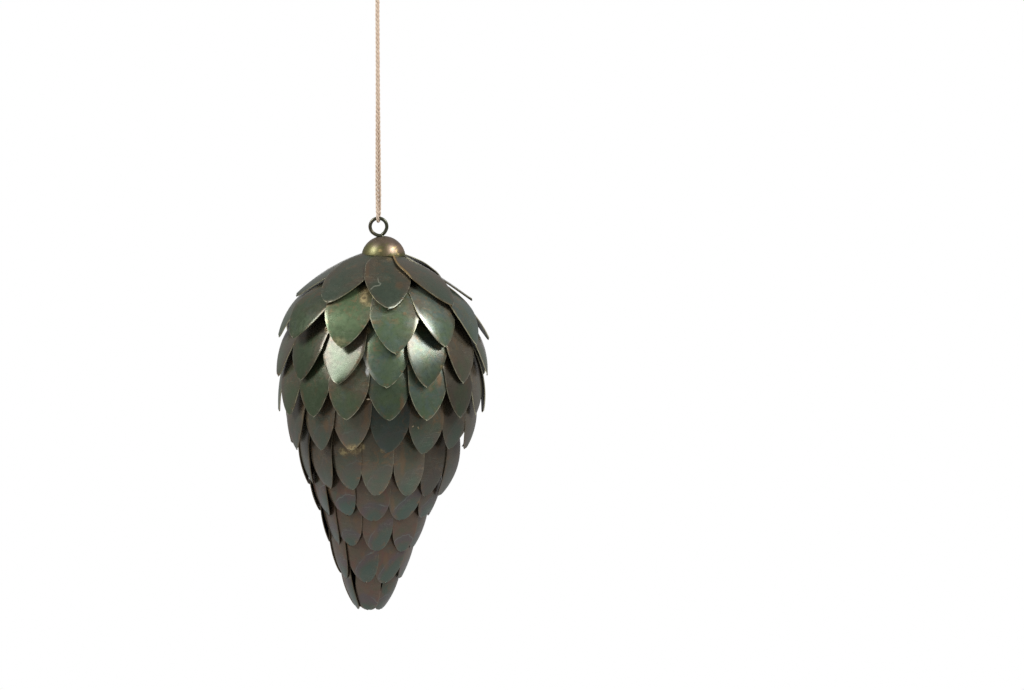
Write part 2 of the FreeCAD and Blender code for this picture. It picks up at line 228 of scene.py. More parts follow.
GREEN = (0.080, 0.118, 0.056, 1.0)
TEAL = (0.076, 0.104, 0.069, 1.0)
BROWN = (0.122, 0.100, 0.068, 1.0)
MAUVE = (0.150, 0.105, 0.073, 1.0)
BLUE = (0.078, 0.114, 0.100, 1.0)
CAP_GREEN = (0.158, 0.148, 0.054, 1.0)
CAP_BROWN = (0.17, 0.145, 0.068, 1.0)
CAP_BLUE = (0.13, 0.17, 0.11, 1.0)
CAP_COPPER = (0.30, 0.21, 0.14, 1.0)
CAP_CROWN = (0.19, 0.14, 0.105, 1.0)
RED_OXIDE = (0.175, 0.085, 0.062, 1.0)
OLIVE_OXIDE = (0.120, 0.112, 0.062, 1.0)
VIOLET_VEIL = (0.112, 0.094, 0.112, 1.0)
TEAL_SPOT = (0.070, 0.122, 0.098, 1.0)
PALE_LINE = (0.24, 0.28, 0.24, 1.0)
RUST_BROWN = (0.200, 0.118, 0.058, 1.0)
BRAZE_DARK = (0.21, 0.150, 0.070, 1.0)
BRAZE_BRIGHT = (0.50, 0.40, 0.20, 1.0)
BRAZE_BUBBLE = (0.46, 0.37, 0.18, 1.0)
BRAZE_HOLE = (0.045, 0.036, 0.020, 1.0)
BRAZE_BEAD = (0.40, 0.24, 0.075, 1.0)
BEADED_EDGE = (0.26, 0.17, 0.065, 1.0)
BRAZE_AND_HIGHLIGHT_GOLD = (0.62, 0.47, 0.20, 1.0)
LACQUER_SPECK = (0.5, 0.47, 0.33, 1.0)
LACQUER_RUB = (0.42, 0.44, 0.34, 1.0)
BRASSY_RUB = (0.5, 0.45, 0.26, 1.0)
WORN_RIM = (0.47, 0.46, 0.32, 1.0)
PAINTED_HIGHLIGHT_WHITE = (0.95, 0.97, 0.92, 1.0)
EDGE_BRIGHT = (0.66, 0.65, 0.46, 1.0)
EDGE_DULL = (0.40, 0.33, 0.19, 1.0)
DARK_EDGE_BRIGHT = (0.27, 0.22, 0.14, 1.0)
DARK_EDGE_DULL = (0.09, 0.07, 0.05, 1.0)
EDGE_BLUE = (0.1, 0.1, 0.07, 1.0)
WIRE_GREEN = (0.085, 0.095, 0.055, 1.0)
WIRE_BROWN = (0.115, 0.085, 0.05, 1.0)
DROP_PALE = (0.84, 0.72, 0.52, 1.0)
DROP_BROWN = (0.66, 0.48, 0.29, 1.0)
PAINTED_SHADE_BACK_GREEN = (0.03, 0.032, 0.022, 1.0)
PAINTED_SHADE_BACK_BROWN = (0.045, 0.033, 0.022, 1.0)
CORE_GREEN = (0.05, 0.05, 0.035, 1.0)
CORE_BROWN = (0.07, 0.05, 0.035, 1.0)
PLAIN_BLUE = (0.09, 0.11, 0.11, 1.0)
JUTE_DARK = (0.76, 0.53, 0.38, 1.0)
JUTE_PALE = (1.0, 0.86, 0.69, 1.0)
JUTE_DIRT = (0.72, 0.50, 0.36, 1.0)


def make_patina_group():
    """Heat patina on sheet iron: a green and a brown cast that run softly into each other, a blue one in
    veils, and a fine grain."""
    nodes, given, out = new_group(
        "heat_patina",
        {"Place": None, "Green": (0.1, 0.15, 0.1, 1.0), "Brown": (0.15, 0.1, 0.07, 1.0),
         "Blue": (0.1, 0.14, 0.15, 1.0), "Warmth": 0.5, "Blueness": 0.2, "Shift": 0.0},
        {"Color": "NodeSocketColor", "Rough": "NodeSocketFloat", "Height": "NodeSocketFloat"},
    )
    place = nodes.vector("ADD", given["Place"], nodes.times(given["Shift"], 0.4))
    clouds = nodes.math("SUBTRACT", nodes.noise(place, 70.0, 4.0, 0.55, 0.5), 0.5)
    warm = nodes.ramp(nodes.plus(nodes.times(clouds, 1.3), given["Warmth"]), 0.15, 0.85)
    colour = nodes.mix(warm, given["Green"], given["Brown"])
    veil = nodes.math("SUBTRACT", nodes.noise(place, 110.0, 3.0, 0.5, 0.8), 0.5)
    blue = nodes.ramp(nodes.plus(nodes.times(veil, 1.2), given["Blueness"]), 0.25, 0.95)
    colour = nodes.mix(blue, colour, given["Blue"])
    mottle = nodes.noise(place, 330.0, 5.0, 0.7)
    colour = nodes.mix(0.35, colour, nodes.mix(mottle, grey(0.5), grey(1.5)), "MULTIPLY")
    grain = nodes.noise(place, 1300.0, 4.0, 0.75)
    colour = nodes.mix(0.7, colour, nodes.mix(grain, grey(0.5), grey(1.5)), "MULTIPLY")
    specks = nodes.times(nodes.ramp(nodes.noise(place, 2200.0, 2.0, 0.6), 0.70, 0.76), 0.4)
    nodes.feed(out["Color"], nodes.mix(specks, colour, LACQUER_SPECK))
    nodes.feed(out["Rough"], nodes.ramp(mottle, 0.3, 0.7))
    nodes.feed(out["Height"], nodes.plus(nodes.times(grain, 0.7), specks))
    return nodes.tree


def make_rub_group():
    """Thin bright rubbing marks that run every way, in patches."""
    nodes, given, out = new_group("rub_marks", {"Place": None, "Amount": 0.5}, {"Mask": "NodeSocketFloat"})
    marks = []
    for turn, scale in RUB_DIRECTIONS:
        drawn = nodes.add("ShaderNodeMapping", Vector=given["Place"], Rotation=turn, Scale=(1.0, 1.0, 22.0))
        lines = nodes.noise(drawn.outputs[0], scale, 2.0, 0.5, 0.3)
        marks.append(nodes.band(lines, 0.5, 0.0, 0.006))
    patches = nodes.ramp(nodes.noise(given["Place"], 60.0, 2.0), 0.5, 0.65)
    nodes.feed(out["Mask"], nodes.times(nodes.most(*marks), patches, given["Amount"]))
    return nodes.tree


def make_marks_group(name, marks):
    """Marks that heat and braze have left, and painted highlights, each at its own place on the front:
    sideways and up from the knot, half its width, half its height, and how strong it shows."""
    nodes, given, out = new_group(name, {"Place": None}, {"Mask": "NodeSocketFloat"})
    wander = nodes.add("ShaderNodeTexNoise", Vector=given["Place"], Scale=420.0, Detail=3.0, Roughness=0.6)
    reach = (MARK_WANDER, 0.0, MARK_WANDER)
    moved = nodes.vector("MULTIPLY_ADD", wander.outputs["Color"], reach, given["Place"])
    shown = []
    for across, up, wide, high, strength in marks:
        middle_x = across * MM + MARK_WANDER / 2
        middle_z = up * MM + MARK_WANDER / 2
        scale = (1 / (wide * MM), 0.0, 1 / (high * MM))
        shift = (-middle_x / (wide * MM), 0.0, -middle_z / (high * MM))
        away = nodes.vector("LENGTH", nodes.vector("MULTIPLY_ADD", moved, scale, shift))
        shown.append(nodes.ramp(away, 0.35, 1.1, strength, 0.0))
    y = nodes.add("ShaderNodeSeparateXYZ", Vector=given["Place"]).outputs["Y"]
    front = nodes.ramp(y, -0.008, -0.004, 1.0, 0.0)
    nodes.feed(out["Mask"], nodes.times(nodes.most(*shown), front))
    return nodes.tree


def make_scratch_group():
    """An old curled scratch in the lacquer of the front scale under the cap: short strokes end to end."""
    nodes, given, out = new_group("curled_scratch", {"Place": None}, {"Mask": "NodeSocketFloat"})
    strokes = []
    for (x, z), (next_x, next_z) in zip(CURL, CURL[1:]):
        stroke = Vector((next_x - x, 0, next_z - z)) * MM
        off = nodes.vector("MULTIPLY_ADD", given["Place"], (1.0, 0.0, 1.0), (-x * MM, 0.0, -z * MM))
        share = nodes.vector("DOT_PRODUCT", off, stroke / stroke.length_squared)
        foot = nodes.vector("MULTIPLY", stroke, nodes.math("ADD", share, 0.0, clamp=True))
        strokes.append(nodes.ramp(nodes.vector("DISTANCE", off, foot), 0.12 * MM, 0.42 * MM, 1.0, 0.0))
    y = nodes.add("ShaderNodeSeparateXYZ", Vector=given["Place"]).outputs["Y"]
    nodes.feed(out["Mask"], nodes.times(nodes.most(*strokes), nodes.math("LESS_THAN", y, -0.02)))
    return nodes.tree


# Turn and scale of each run of rubbing marks
RUB_DIRECTIONS = (((0.3, 0.9, 0.2), 55.0), ((1.1, 0.2, 0.8), 70.0), ((2.0, 0.6, 1.4), 48.0))
MARK_WANDER = 2.6 * MM
BRAZE_MARKS = (
    (-7.5, -200.0, 3.0, 4.5, 1.0),
    (-6.5, -195.0, 2.2, 3.5, 0.7),
    (-4.0, -203.5, 2.5, 2.0, 0.6),
    (8.0, -177.3, 2.6, 1.0, 0.8),
    (-32.0, -219.5, 1.9, 2.6, 0.9),
    (-22.5, -226.5, 5.5, 4.0, 0.35),
    (-4.5, -220.0, 2.0, 3.0, 0.8),
    (-4.0, -262.5, 1.8, 1.6, 1.0),
    (-21.5, -299.6, 3.6, 3.0, 1.0),
    (-14.5, -297.2, 6.0, 4.4, 1.0),
    (-9.5, -296.0, 3.0, 4.0, 0.9),
    (4.5, -298.0, 2.2, 2.6, 0.6),
    (24.0, -282.0, 0.9, 0.9, 1.0),
    (27.5, -283.0, 0.8, 0.8, 1.0),
    (42.5, -244.0, 1.5, 1.8, 0.8),
)
RUST_MARKS = (
    (-6.0, -184.0, 1.6, 8.0, 0.7),
    (-7.0, -198.0, 5.5, 9.0, 0.6),
    (15.0, -192.5, 3.2, 2.8, 0.7),
    (41.0, -252.0, 2.2, 6.0, 1.0),
    (17.0, -305.5, 2.4, 12.0, 0.8),
    (-29.0, -264.0, 1.6, 6.0, 1.0),
    (-48.0, -267.0, 1.8, 10.0, 0.7),
    (-5.5, -272.0, 1.8, 12.0, 0.7),
    (-32.0, -281.5, 2.4, 6.0, 0.8),
    (17.5, -267.5, 1.8, 9.0, 1.0),
    (43.0, -276.5, 2.0, 10.0, 0.7),
    (-15.0, -297.0, 9.0, 5.5, 0.6),
    (-5.0, -238.0, 1.6, 10.0, 0.6),
    (10.0, -336.0, 2.0, 9.0, 0.8),
    (-2.0, -352.0, 3.0, 10.0, 0.5),
    (5.0, -376.0, 2.4, 8.0, 0.7),
)
# A painted highlight: a white spot on the left shoulder of the middle scale of the fourth ring
PAINTED_HIGHLIGHT_MARKS = ((-4.6, -245.4, 1.5, 3.6, 0.9),)
# Cap marks: the first is a painted highlight, a small bright spot; the others are spilled braze
SPILT_BRAZE_AND_HIGHLIGHT_MARKS = (
    (2.0, -172.0, 1.8, 1.3, 0.8),
    (11.0, -170.0, 1.9, 0.8, 0.8),
    (12.5, -172.3, 0.9, 1.6, 0.8),
    (13.5, -174.5, 0.9, 0.9, 1.0),
)
CURL = ((-3.0, -194.2), (-1.0, -192.5), (2.5, -192.0), (3.2, -191.0), (1.8, -190.2), (1.2, -188.0))
PATINA = make_patina_group()
BRAZE = make_marks_group("braze_marks", BRAZE_MARKS)
RUST = make_marks_group("rust_marks", RUST_MARKS)
PAINTED_HIGHLIGHT = make_marks_group("painted_highlight_spots", PAINTED_HIGHLIGHT_MARKS)
SPILT_BRAZE_AND_HIGHLIGHT = make_marks_group("spilt_braze_and_painted_highlight", SPILT_BRAZE_AND_HIGHLIGHT_MARKS)
SCRATCH = make_scratch_group()
RUBS = make_rub_group()


def patina_into(nodes, shader, colour, rough_low, rough_high, patina, bump=0.15, extra_height=None):
    nodes.feed(shader["Base Color"], colour)
    nodes.feed(shader["Roughness"], nodes.ramp(patina["Rough"], 0.0, 1.0, rough_low, rough_high))
    height = patina["Height"]
    if extra_height is not None:
        height = nodes.math("ADD", height, extra_height)
    relief = nodes.add("ShaderNodeBump", Strength=bump, Distance=0.05 * MM, Height=height)
    nodes.feed(shader["Normal"], relief.outputs[0])


def add_heat_colours(nodes, colour, place, along, across, tone, tint):
    """Heat colours of the lower scales: red and olive oxide, and at the tip a teal spot with a violet veil
    and a broken pale line round it. Tone moves and slants them on each scale."""
    red = nodes.ramp(nodes.noise(place, 95.0, 3.0, 0.6, 1.0), 0.47, 0.66, 0.0, 0.7 * tint)
    colour = nodes.mix(red, colour, RED_OXIDE)
    olive = nodes.ramp(nodes.noise(place, 78.0, 3.0, 0.5, 1.4), 0.52, 0.68, 0.0, 0.6 * tint)
    colour = nodes.mix(olive, colour, OLIVE_OXIDE)
    wander = nodes.times(nodes.math("SUBTRACT", nodes.noise(place, 130.0, 2.0), 0.5), 0.16)
    bowed = nodes.times(across, across, 0.10)
    slant = nodes.times(nodes.math("MULTIPLY_ADD", tone, 0.34, -0.06), across)
    shift = nodes.math("MULTIPLY_ADD", tone, 0.16, -0.06)
    level = nodes.plus(along, wander, nodes.math("SUBTRACT", slant, bowed), shift)
    colour = nodes.mix(nodes.band(level, 0.74, 0.02, 0.12, 0.55 * tint), colour, VIOLET_VEIL)
    colour = nodes.mix(nodes.ramp(level, 0.74, 0.92, 0.0, 0.75 * tint), colour, TEAL_SPOT)
    broken = nodes.ramp(nodes.noise(place, 90.0, 2.0), 0.42, 0.58, 0.0, 0.75 * tint)
    return nodes.mix(nodes.times(nodes.band(level, 0.70, 0.0, 0.011), broken), colour, PALE_LINE)


def add_rust(nodes, colour, place, rim, heated, heat):
    """Rust along the seams and where the torch has been."""
    seam = nodes.most(nodes.times(heated, 0.8), nodes.ramp(rim, 0.6, 3.2, 1.0, 0.0))
    rust = nodes.ramp(nodes.noise(place, 170.0, 4.0, 0.65, 1.2), 0.50, 0.68)
    marked = nodes.times(use_group(nodes, RUST, Place=place)["Mask"], 0.75)
    return nodes.mix(nodes.most(nodes.times(rust, seam, heat), marked), colour, RUST_BROWN)


def add_braze(nodes, colour, place, along, across, rim, sides, heated, heat):
    """Braze: froth with burst bubbles in its marks, and a bead along some left edges. Gives the colour and
    how far the froth stands up."""
    clouds = nodes.plus(nodes.noise(place, 120.0, 3.0, 0.6, 0.4), nodes.times(sides, 0.10))
    blotch = nodes.math("MULTIPLY", nodes.ramp(clouds, 0.70, 0.76), nodes.times(heated, heat), clamp=True)
    braze = nodes.most(nodes.times(blotch, 0.5), use_group(nodes, BRAZE, Place=place)["Mask"])
    froth = nodes.band(nodes.noise(place, 620.0, 2.0, 0.5), 0.5, 0.0, 0.07)
    brass = nodes.mix(froth, BRAZE_DARK, BRAZE_BRIGHT)
    bubbles = nodes.add("ShaderNodeTexVoronoi", Vector=place, Scale=260.0).outputs
    burst = nodes.ramp(bubbles["Color"], 0.40, 0.42)
    skin = nodes.band(bubbles["Distance"], 0.50, 0.04, 0.16)
    brass = nodes.mix(nodes.times(skin, burst), brass, BRAZE_BUBBLE)
    hole = nodes.ramp(bubbles["Distance"], 0.20, 0.40, 0.45, 0.0)
    brass = nodes.mix(nodes.times(hole, burst), brass, BRAZE_HOLE)
    colour = nodes.mix(nodes.times(braze, 0.85), colour, brass)
    left = nodes.math("LESS_THAN", across, 0.0)
    upper = nodes.ramp(along, 0.46, 0.54, 0.9, 0.0)
    bead = nodes.times(nodes.attribute("bead"), nodes.ramp(rim, 0.6, 1.8, 1.0, 0.0), left, upper)
    return nodes.mix(bead, colour, BRAZE_BEAD), nodes.times(braze, froth, 3.0)


def add_wear(nodes, colour, place, along, across, rim, wear):
    """Rubbing marks, the curled scratch, painted highlights in white along some left edges and on spots,
    and worn rims.
    """
    rubs = use_group(nodes, RUBS, Place=place, Amount=0.45)["Mask"]
    scratch = nodes.times(use_group(nodes, SCRATCH, Place=place)["Mask"], 0.7)
    colour = nodes.mix(nodes.most(rubs, scratch), colour, LACQUER_RUB)
    # Painted highlight: white along the left edge of the listed scales and on the listed spots
    left = nodes.math("LESS_THAN", across, 0.0)
    middle = nodes.times(nodes.ramp(along, 0.38, 0.50), nodes.ramp(along, 0.70, 0.95, 1.0, 0.0))
    painted_highlight = nodes.times(nodes.ramp(rim, 0.3, 2.4, 1.0, 0.0), left, middle, nodes.attribute("rub"))
    painted_highlight = nodes.most(painted_highlight, use_group(nodes, PAINTED_HIGHLIGHT, Place=place)["Mask"])
    colour = nodes.mix(painted_highlight, colour, PAINTED_HIGHLIGHT_WHITE)
    patches = nodes.ramp(nodes.noise(place, 260.0, 3.0), 0.38, 0.62)
    return nodes.mix(nodes.times(nodes.ramp(rim, 0.10, 0.45, 1.0, 0.0), patches, wear), colour, WORN_RIM)


def make_scale_finish(name, green, brown, warmth, blueness, heat, wear, tint=0.0):
    """Patinated and lacquered scale. Heat says how much rust and braze there is at its root and seams, wear
    how bright its rim is, and tint how strong its heat colours are."""
    material, nodes, shader = new_material(name, Metallic=0.5, Coat_Weight=0.5, Coat_Roughness=0.2)
    place = nodes.place()
    along, across, rim, tone = [nodes.attribute(key) for key in ("along", "across", "rim", "tone")]
    sides = nodes.ramp(nodes.math("ABSOLUTE", across), 0.35, 1.0)
    heated = nodes.ramp(along, 0.40, 0.85, 1.0, 0.0)
    warm_here = nodes.times(nodes.plus(heated, sides), 0.26)
    warm_here = nodes.plus(warm_here, warmth - 0.22, nodes.attribute("warm"))
    blue_here = nodes.plus(nodes.attribute("blue"), blueness)
    patina = use_group(nodes, PATINA, Place=place, Green=green, Brown=brown, Blue=BLUE,
                       Warmth=warm_here, Blueness=blue_here, Shift=tone)
    colour = patina["Color"]
    if tint:
        colour = add_heat_colours(nodes, colour, place, along, across, tone, tint)
    colour = add_rust(nodes, colour, place, rim, heated, heat)
    colour, lumps = add_braze(nodes, colour, place, along, across, rim, sides, heated, heat)
    colour = add_wear(nodes, colour, place, along, across, rim, wear)
    # Shade scales the whole colour: random tone on most scales, painted light and shade on the listed ones
    colour = nodes.mix(1.0, colour, nodes.attribute("shade"), "MULTIPLY")
    patina_into(nodes, shader, colour, 0.26, 0.36, patina, 0.22, lumps)
    return material


def make_edge_finish(name, bright, dull):
    """Sheared edge of the sheet: bright where the lacquer is rubbed, dull elsewhere."""
    material, nodes, shader = new_material(name, Metallic=0.7, Coat_Weight=0.3, Coat_Roughness=0.2)
    patina = use_group(nodes, PATINA, Place=nodes.place(), Green=bright, Brown=dull, Blue=EDGE_BLUE,
                       Warmth=0.4, Blueness=0.2)
    colour = nodes.mix(nodes.times(nodes.attribute("bead"), 0.8), patina["Color"], BEADED_EDGE)
    # Shade darkens or lightens the edge with its scale: random tone, and painted light and shade on listed
    # scales
    colour = nodes.mix(1.0, colour, nodes.attribute("shade"), "MULTIPLY")
    patina_into(nodes, shader, colour, 0.28, 0.45, patina)
    return material


def make_plain_finish(name, green, brown, warmth, rough):
    material, nodes, shader = new_material(name, Metallic=0.75, Coat_Weight=0.5, Coat_Roughness=0.15)
    place = nodes.place()
    patina = use_group(nodes, PATINA, Place=place, Green=green, Brown=brown, Blue=PLAIN_BLUE,
                       Warmth=warmth, Blueness=0.2)
    rubs = use_group(nodes, RUBS, Place=place, Amount=0.6)["Mask"]
    colour = nodes.mix(rubs, patina["Color"], BRASSY_RUB)
    patina_into(nodes, shader, colour, rough - 0.06, rough + 0.1, patina)
    return material


def make_cap_finish():
    """Cap: olive green below, brown round the crown, coppery on one side, with spilled braze there, and a
    small painted highlight spot near the middle of its front.
    """
    material, nodes, shader = new_material("cap_patina", Metallic=0.7, Coat_Weight=0.3, Coat_Roughness=0.3)
    place = nodes.place()
    stir = nodes.math("SUBTRACT", nodes.noise(place, 190.0, 3.0, 0.6, 0.8), 0.5)
    spot = nodes.add("ShaderNodeSeparateXYZ", Vector=place).outputs
    level = nodes.plus(spot["Z"], nodes.times(stir, 0.010))
    side = nodes.plus(spot["X"], nodes.times(stir, 0.012))
    patina = use_group(nodes, PATINA, Place=place, Green=CAP_GREEN, Brown=CAP_BROWN, Blue=CAP_BLUE,
                       Warmth=0.35, Blueness=0.2)
    coppery = nodes.times(nodes.ramp(side, 0.004, 0.009), nodes.ramp(level, -0.1750, -0.1725))
    colour = nodes.mix(coppery, patina["Color"], CAP_COPPER)
    colour = nodes.mix(nodes.ramp(level, -0.1705, -0.1665, 0.0, 0.8), colour, CAP_CROWN)
    # Spilled braze and one painted highlight spot, both in gold
    braze_and_highlight_mask = use_group(nodes, SPILT_BRAZE_AND_HIGHLIGHT, Place=place)["Mask"]
    colour = nodes.mix(nodes.times(braze_and_highlight_mask, 0.9), colour, BRAZE_AND_HIGHLIGHT_GOLD)
    rubs = use_group(nodes, RUBS, Place=place, Amount=0.6)["Mask"]
    colour = nodes.mix(rubs, colour, BRASSY_RUB)
    patina_into(nodes, shader, colour, 0.35, 0.46, patina, 0.2, nodes.times(braze_and_highlight_mask, 2.0))
    return material


def make_jute_finish():
    """Jute: paler and darker fibres, dirt, and shadow in the grooves between the strands."""
    material, nodes, shader = new_material(
        "jute", Metallic=0.0, Roughness=0.9, Sheen_Weight=0.3, Sheen_Roughness=0.5
    )
    place = nodes.place()
    fibre = nodes.noise(place, 2300.0, 4.0, 0.7)
    dirt = nodes.ramp(nodes.noise(place, 420.0, 2.0, 0.5), 0.45, 0.65, 0.0, 0.4)
    colour = nodes.mix(dirt, nodes.mix(fibre, JUTE_DARK, JUTE_PALE), JUTE_DIRT)
    groove = nodes.ramp(nodes.attribute("depth"), 0.45, 0.95, 0.50, 1.0)
    nodes.feed(shader["Base Color"], nodes.mix(1.0, colour, groove, "MULTIPLY"))
    relief = nodes.add("ShaderNodeBump", Strength=0.6, Distance=0.15 * MM, Height=fibre)
    nodes.feed(shader["Normal"], relief.outputs[0])
    return material


scales_top = make_scale_finish("scale_patina_top", TEAL, BROWN, 0.42, 0.2, 0.5, 0.8)
scales_green = make_scale_finish("scale_patina_green", GREEN, BROWN, 0.36, 0.15, 0.8, 0.8)
scales_mixed = make_scale_finish("scale_patina_mixed", TEAL, BROWN, 0.46, 0.2, 0.9, 0.4, tint=0.3)
scales_brown = make_scale_finish("scale_patina_brown", TEAL, MAUVE, 0.64, 0.15, 0.8, 0.25, tint=1.0)
bright_edge = make_edge_finish("bright_cut_edge", EDGE_BRIGHT, EDGE_DULL)
dark_edge = make_edge_finish("dark_cut_edge", DARK_EDGE_BRIGHT, DARK_EDGE_DULL)
cap_finish = make_cap_finish()
wire_finish = make_plain_finish("wire_patina", WIRE_GREEN, WIRE_BROWN, 0.4, 0.3)
drop_finish = make_plain_finish("braze_patina", DROP_PALE, DROP_BROWN, 0.4, 0.3)
# The backs of the scales are nearly black so that the shade under the tips, and its reflection in the
# metal, stays deep: painted shade
painted_shade_back_finish = make_plain_finish("scale_backs_painted_shade", PAINTED_SHADE_BACK_GREEN, PAINTED_SHADE_BACK_BROWN, 0.5, 0.5)
core_finish = make_plain_finish("core_patina", CORE_GREEN, CORE_BROWN, 0.5, 0.5)
jute = make_jute_finish()


# Cord: both ends are in the knot, and its middle goes round the wire of the eye

CORD_DIAMETER = 2.0 * MM
CORD_STRANDS = 3
CORD_LAY = 9.0 * MM
LINE_STEP = 0.4 * MM
CORD_ROUTE = (
    (-0.41, -1.13, -0.01),
    (-0.30, -1.15, -60.0),
    (-0.70, -0.90, -100.0),
    (-0.92, -0.55, -130.0),
    (-0.92, -0.60, -140.0),
    (-0.60, -2.10, -148.6),
    (-0.30, -2.20, -153.7),
    (0.30, 2.20, -153.7),
    (0.60, 2.10, -148.6),
    (0.92, 0.60, -140.0),
    (0.92, 0.55, -130.0),
    (0.70, 0.90, -100.0),
    (0.30, 1.15, -60.0),
    (0.41, 1.13, -0.01),
)


def spline_points(name, points, steps):
    """Points along a NURBS spline through its control points, as the curve itself gives them."""
    data = bpy.data.curves.new(name, "CURVE")
    data.dimensions = "3D"
    data.resolution_u = steps
    spline = data.splines.new("NURBS")
    spline.points.add(len(points) - 1)
    for control, point in zip(spline.points, points):
        control.co = (*(coordinate * MM for coordinate in point), 1)
    spline.order_u = 3
    spline.use_endpoint_u = True
    curve = link(bpy.data.objects.new(name, data))
    mesh = bpy.data.meshes.new_from_object(curve)
    line = [vertex.co.copy() for vertex in mesh.vertices]
    bpy.data.objects.remove(curve)
    bpy.data.curves.remove(data)
    bpy.data.meshes.remove(mesh)
    return line


def even_points(line, step):
    """The same line with its points at even distances."""
    lengths = [0.0]
    for before, after in zip(line, line[1:]):
        lengths.append(lengths[-1] + (after - before).length)
    count = max(2, round(lengths[-1] / step))
    points, place = [], 0
    for index in range(count + 1):
        target = lengths[-1] * index / count
        while place < len(line) - 2 and lengths[place + 1] < target:
            place += 1
        span = lengths[place + 1] - lengths[place]
        points.append(line[place].lerp(line[place + 1], (target - lengths[place]) / span if span else 0))
    return points


def frames_along(points):
    """Direction and two cross directions at each point, carried on without twist."""
    frames = []
    side = Vector((1, 0, 0))
    for index in range(len(points)):
        ahead = points[min(index + 1, len(points) - 1)] - points[max(index - 1, 0)]
        ahead.normalize()
        side = (side - ahead * side.dot(ahead)).normalized()
        frames.append((ahead, side, ahead.cross(side)))
    return frames


def tube(points, radii, sides, vertices, faces):
    """Adds a closed round tube along the points to the lists."""
    start = len(vertices)
    for point, radius, (ahead, side, other) in zip(points, radii, frames_along(points)):
        for corner in range(sides):
            angle = 2 * math.pi * corner / sides
            vertices.append(point + (side * math.cos(angle) + other * math.sin(angle)) * radius)
    rings = len(points)
    for ring in range(rings - 1):
        for corner in range(sides):
            here, there = start + ring * sides, start + (ring + 1) * sides
            following = (corner + 1) % sides
            faces.append((here + corner, here + following, there + following, there + corner))
    faces.append(tuple(start + corner for corner in reversed(range(sides))))
    faces.append(tuple(start + (rings - 1) * sides + corner for corner in range(sides)))


STRAND_SHARE = 0.255
STRAND_SIDES = 8
STRAND_WANDER = 0.16
STRAND_SWELL = 0.10


def twisted_strands(line, diameter, strands, lay, vertices, faces, depths, mirrored=False):
    """Strands laid round a line; lay is the length of one turn. A mirrored cord twists the other way from
    its middle on. Depths tells for each vertex how far it lies from the line, as a share of the radius."""
    strand_radius = diameter * STRAND_SHARE
    off = diameter / 2 - strand_radius
    frames = frames_along(line)
    step = (line[1] - line[0]).length
    turning = len(line) // 2 if mirrored else 0
    for strand in range(strands):
        points, radii = [], []
        for index, (point, (ahead, side, other)) in enumerate(zip(line, frames)):
            angle = 2 * math.pi * (strand / strands + abs(index - turning) * step / lay)
            wander = 1 + STRAND_WANDER * math.sin(index * 0.37 + strand * 1.3) * math.sin(index * 0.113)
            points.append(point + (side * math.cos(angle) + other * math.sin(angle)) * off * wander)
            radii.append(strand_radius * (1 + STRAND_SWELL * math.sin(index * 0.9 + strand * 2.1)))
        start = len(vertices)
        tube(points, radii, STRAND_SIDES, vertices, faces)
        for number, vertex in enumerate(vertices[start:]):
            depths.append((vertex - line[number // STRAND_SIDES]).length / (diameter / 2))


KNOT_LAY = 8.0 * MM
KNOT_RADIUS = 2.15
KNOT_WEAVE = 0.55
KNOT_FOOT, KNOT_RISE = 1.6, 5.0
KNOT_SWING = 0.9
KNOT_TURNS, KNOT_WAVES = 1.45, 1.5
KNOT_STEPS = 40
KNOT_CORE = ((0, 0, 0.0), (0.3, 0.1, 3), (-0.2, 0.1, 6), (0, 0, 8.6))
KNOT_CORE_STEP = 0.5 * MM
KNOT_CORE_LAY = 12 * MM
TAIL_ROUTE = ((0.7, 0, 7.4), (1.3, 0.3, 10.5), (2.4, -0.3, 14.0), (3.4, 0.1, 18.6))


def knot_route():
    """Middle line of the doubled cord in an overhand knot: it winds round, in and out, and up and down."""
    turns = []
    for index in range(KNOT_STEPS + 1):
        share = index / KNOT_STEPS
        angle = 2 * math.pi * (share * KNOT_TURNS + 0.1)
        phase = 2 * math.pi * share * KNOT_WAVES
        radius = KNOT_RADIUS + KNOT_WEAVE * math.sin(phase)
        level = KNOT_FOOT + KNOT_RISE * share + KNOT_SWING * math.cos(phase)
        turns.append((radius * math.cos(angle), radius * math.sin(angle), level))
    return turns


def make_knot():
    vertices, faces, depths = [], [], []
    belly = even_points(spline_points("knot_turns", knot_route(), 8), LINE_STEP)
    for shift in (-0.9, 0.9):
        moved = [point + Vector((0, 0, shift * MM)) for point in belly]
        twisted_strands(moved, CORD_DIAMETER * 0.95, CORD_STRANDS, KNOT_LAY, vertices, faces, depths)
    core = even_points(spline_points("knot_core", KNOT_CORE, 8), KNOT_CORE_STEP)
    twisted_strands(core, CORD_DIAMETER * 1.9, CORD_STRANDS + 1, KNOT_CORE_LAY, vertices, faces, depths)
    for sign in (1, -1):
        route = [(sign * x, y, z) for x, y, z in TAIL_ROUTE]
        tail = even_points(spline_points("tail", route, 12), LINE_STEP)
        twisted_strands(tail, CORD_DIAMETER, CORD_STRANDS, KNOT_LAY, vertices, faces, depths)
    knot = new_piece("overhand_knot", vertices, faces, [jute])
    point_values(knot, "depth", depths)
    return knot


def make_cord():
    line = even_points(spline_points("cord_route", CORD_ROUTE, 24), LINE_STEP)
    vertices, faces, depths = [], [], []
    twisted_strands(line, CORD_DIAMETER, CORD_STRANDS, CORD_LAY, vertices, faces, depths, mirrored=True)
    cord = new_piece("hanging_jute", vertices, faces, [jute])
    point_values(cord, "depth", depths)
    knot = make_knot()
    for piece, node in ((cord, "hanging_cord"), (knot, "cord_knot")):
        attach(piece, "root")
        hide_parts(node)


make_cord()


# Eye: a round of wire whose two ends cross at its foot and go down through the cap. Its points are in
# millimetres from its middle, before it leans.

